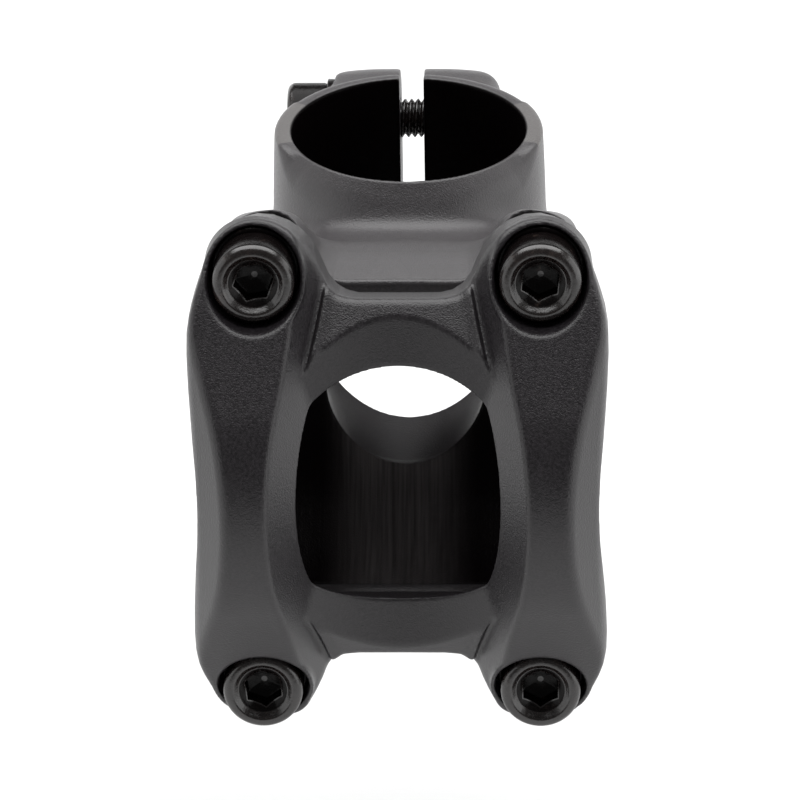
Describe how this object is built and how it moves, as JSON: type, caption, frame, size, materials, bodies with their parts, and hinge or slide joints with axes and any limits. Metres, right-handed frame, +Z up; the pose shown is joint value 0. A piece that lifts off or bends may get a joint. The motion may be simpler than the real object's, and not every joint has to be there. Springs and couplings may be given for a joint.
{
  "type": "handlebar stem",
  "caption": "Short threadless bicycle stem with an open-window faceplate, socket-head bolts on washers and a split rear steerer clamp.",
  "frame": {"origin": "on the steerer axis, half way up the steerer clamp", "axes": "+Z up along the steerer, -Y forward from the steerer to the handlebar, X along the handlebar"},
  "size_m": [0.0472, 0.0933, 0.062],
  "materials": {
    "black_alloy": "satin black, finely blasted aluminium alloy",
    "black_steel": "black oxide steel with bright worn edges",
    "washer_steel": "black steel"
  },
  "bodies": {
    "stem": {"stem_body": "black_alloy"},
    "front": {"faceplate": "black_alloy", "faceplate_washer_top_left": "washer_steel", "faceplate_washer_top_right": "washer_steel", "faceplate_washer_bottom_left": "washer_steel", "faceplate_washer_bottom_right": "washer_steel"},
    "bolt_top_left": {"faceplate_bolt_top_left": "black_steel"},
    "bolt_top_right": {"faceplate_bolt_top_right": "black_steel"},
    "bolt_bottom_left": {"faceplate_bolt_bottom_left": "black_steel"},
    "bolt_bottom_right": {"faceplate_bolt_bottom_right": "black_steel"},
    "pinch_upper_seat": {"pinch_washer_upper": "washer_steel"},
    "pinch_upper_screw": {"pinch_bolt_upper": "black_steel"},
    "pinch_lower_seat": {"pinch_washer_lower": "washer_steel"},
    "pinch_lower_screw": {"pinch_bolt_lower": "black_steel"}
  },
  "joints": [
    {"name": "faceplate_slide", "type": "slide", "parent": "stem", "child": "front", "axis": [0, -0.9925, 0.1219], "range_m": [0, 0.012]},
    {"name": "faceplate_bolt_top_left_turn", "type": "hinge", "parent": "front", "child": "bolt_top_left", "pos_m": [-0.016, -0.0489, 0.02617], "axis": [0, -0.9925, 0.1219], "range_deg": [0, 5401]},
    {"name": "faceplate_bolt_top_right_turn", "type": "hinge", "parent": "front", "child": "bolt_top_right", "pos_m": [0.016, -0.0489, 0.02617], "axis": [0, -0.9925, 0.1219], "range_deg": [0, 5401]},
    {"name": "faceplate_bolt_bottom_left_turn", "type": "hinge", "parent": "front", "child": "bolt_bottom_left", "pos_m": [-0.016, -0.055, -0.02346], "axis": [0, -0.9925, 0.1219], "range_deg": [0, 5401]},
    {"name": "faceplate_bolt_bottom_right_turn", "type": "hinge", "parent": "front", "child": "bolt_bottom_right", "pos_m": [0.016, -0.055, -0.02346], "axis": [0, -0.9925, 0.1219], "range_deg": [0, 5401]},
    {"name": "pinch_upper_slide", "type": "slide", "parent": "stem", "child": "pinch_upper_seat", "axis": [-1, 0, 0], "range_m": [0, 0.01]},
    {"name": "pinch_upper_turn", "type": "hinge", "parent": "pinch_upper_seat", "child": "pinch_upper_screw", "pos_m": [-0.0108, 0.0195, 0.0121], "axis": [-1, 0, 0], "range_deg": [0, 4501]},
    {"name": "pinch_lower_slide", "type": "slide", "parent": "stem", "child": "pinch_lower_seat", "axis": [-1, 0, 0], "range_m": [0, 0.01]},
    {"name": "pinch_lower_turn", "type": "hinge", "parent": "pinch_lower_seat", "child": "pinch_lower_screw", "pos_m": [-0.0108, 0.0195, -0.0121], "axis": [-1, 0, 0], "range_deg": [0, 4501]}
  ],
  "couplings": [
    {"joint": "faceplate_bolt_top_left_turn", "follows": "faceplate_slide", "rad_per_m": 7854},
    {"joint": "faceplate_bolt_top_right_turn", "follows": "faceplate_slide", "rad_per_m": 7854},
    {"joint": "faceplate_bolt_bottom_left_turn", "follows": "faceplate_slide", "rad_per_m": 7854},
    {"joint": "faceplate_bolt_bottom_right_turn", "follows": "faceplate_slide", "rad_per_m": 7854},
    {"joint": "pinch_upper_turn", "follows": "pinch_upper_slide", "rad_per_m": 7854},
    {"joint": "pinch_lower_turn", "follows": "pinch_lower_slide", "rad_per_m": 7854}
  ]
}
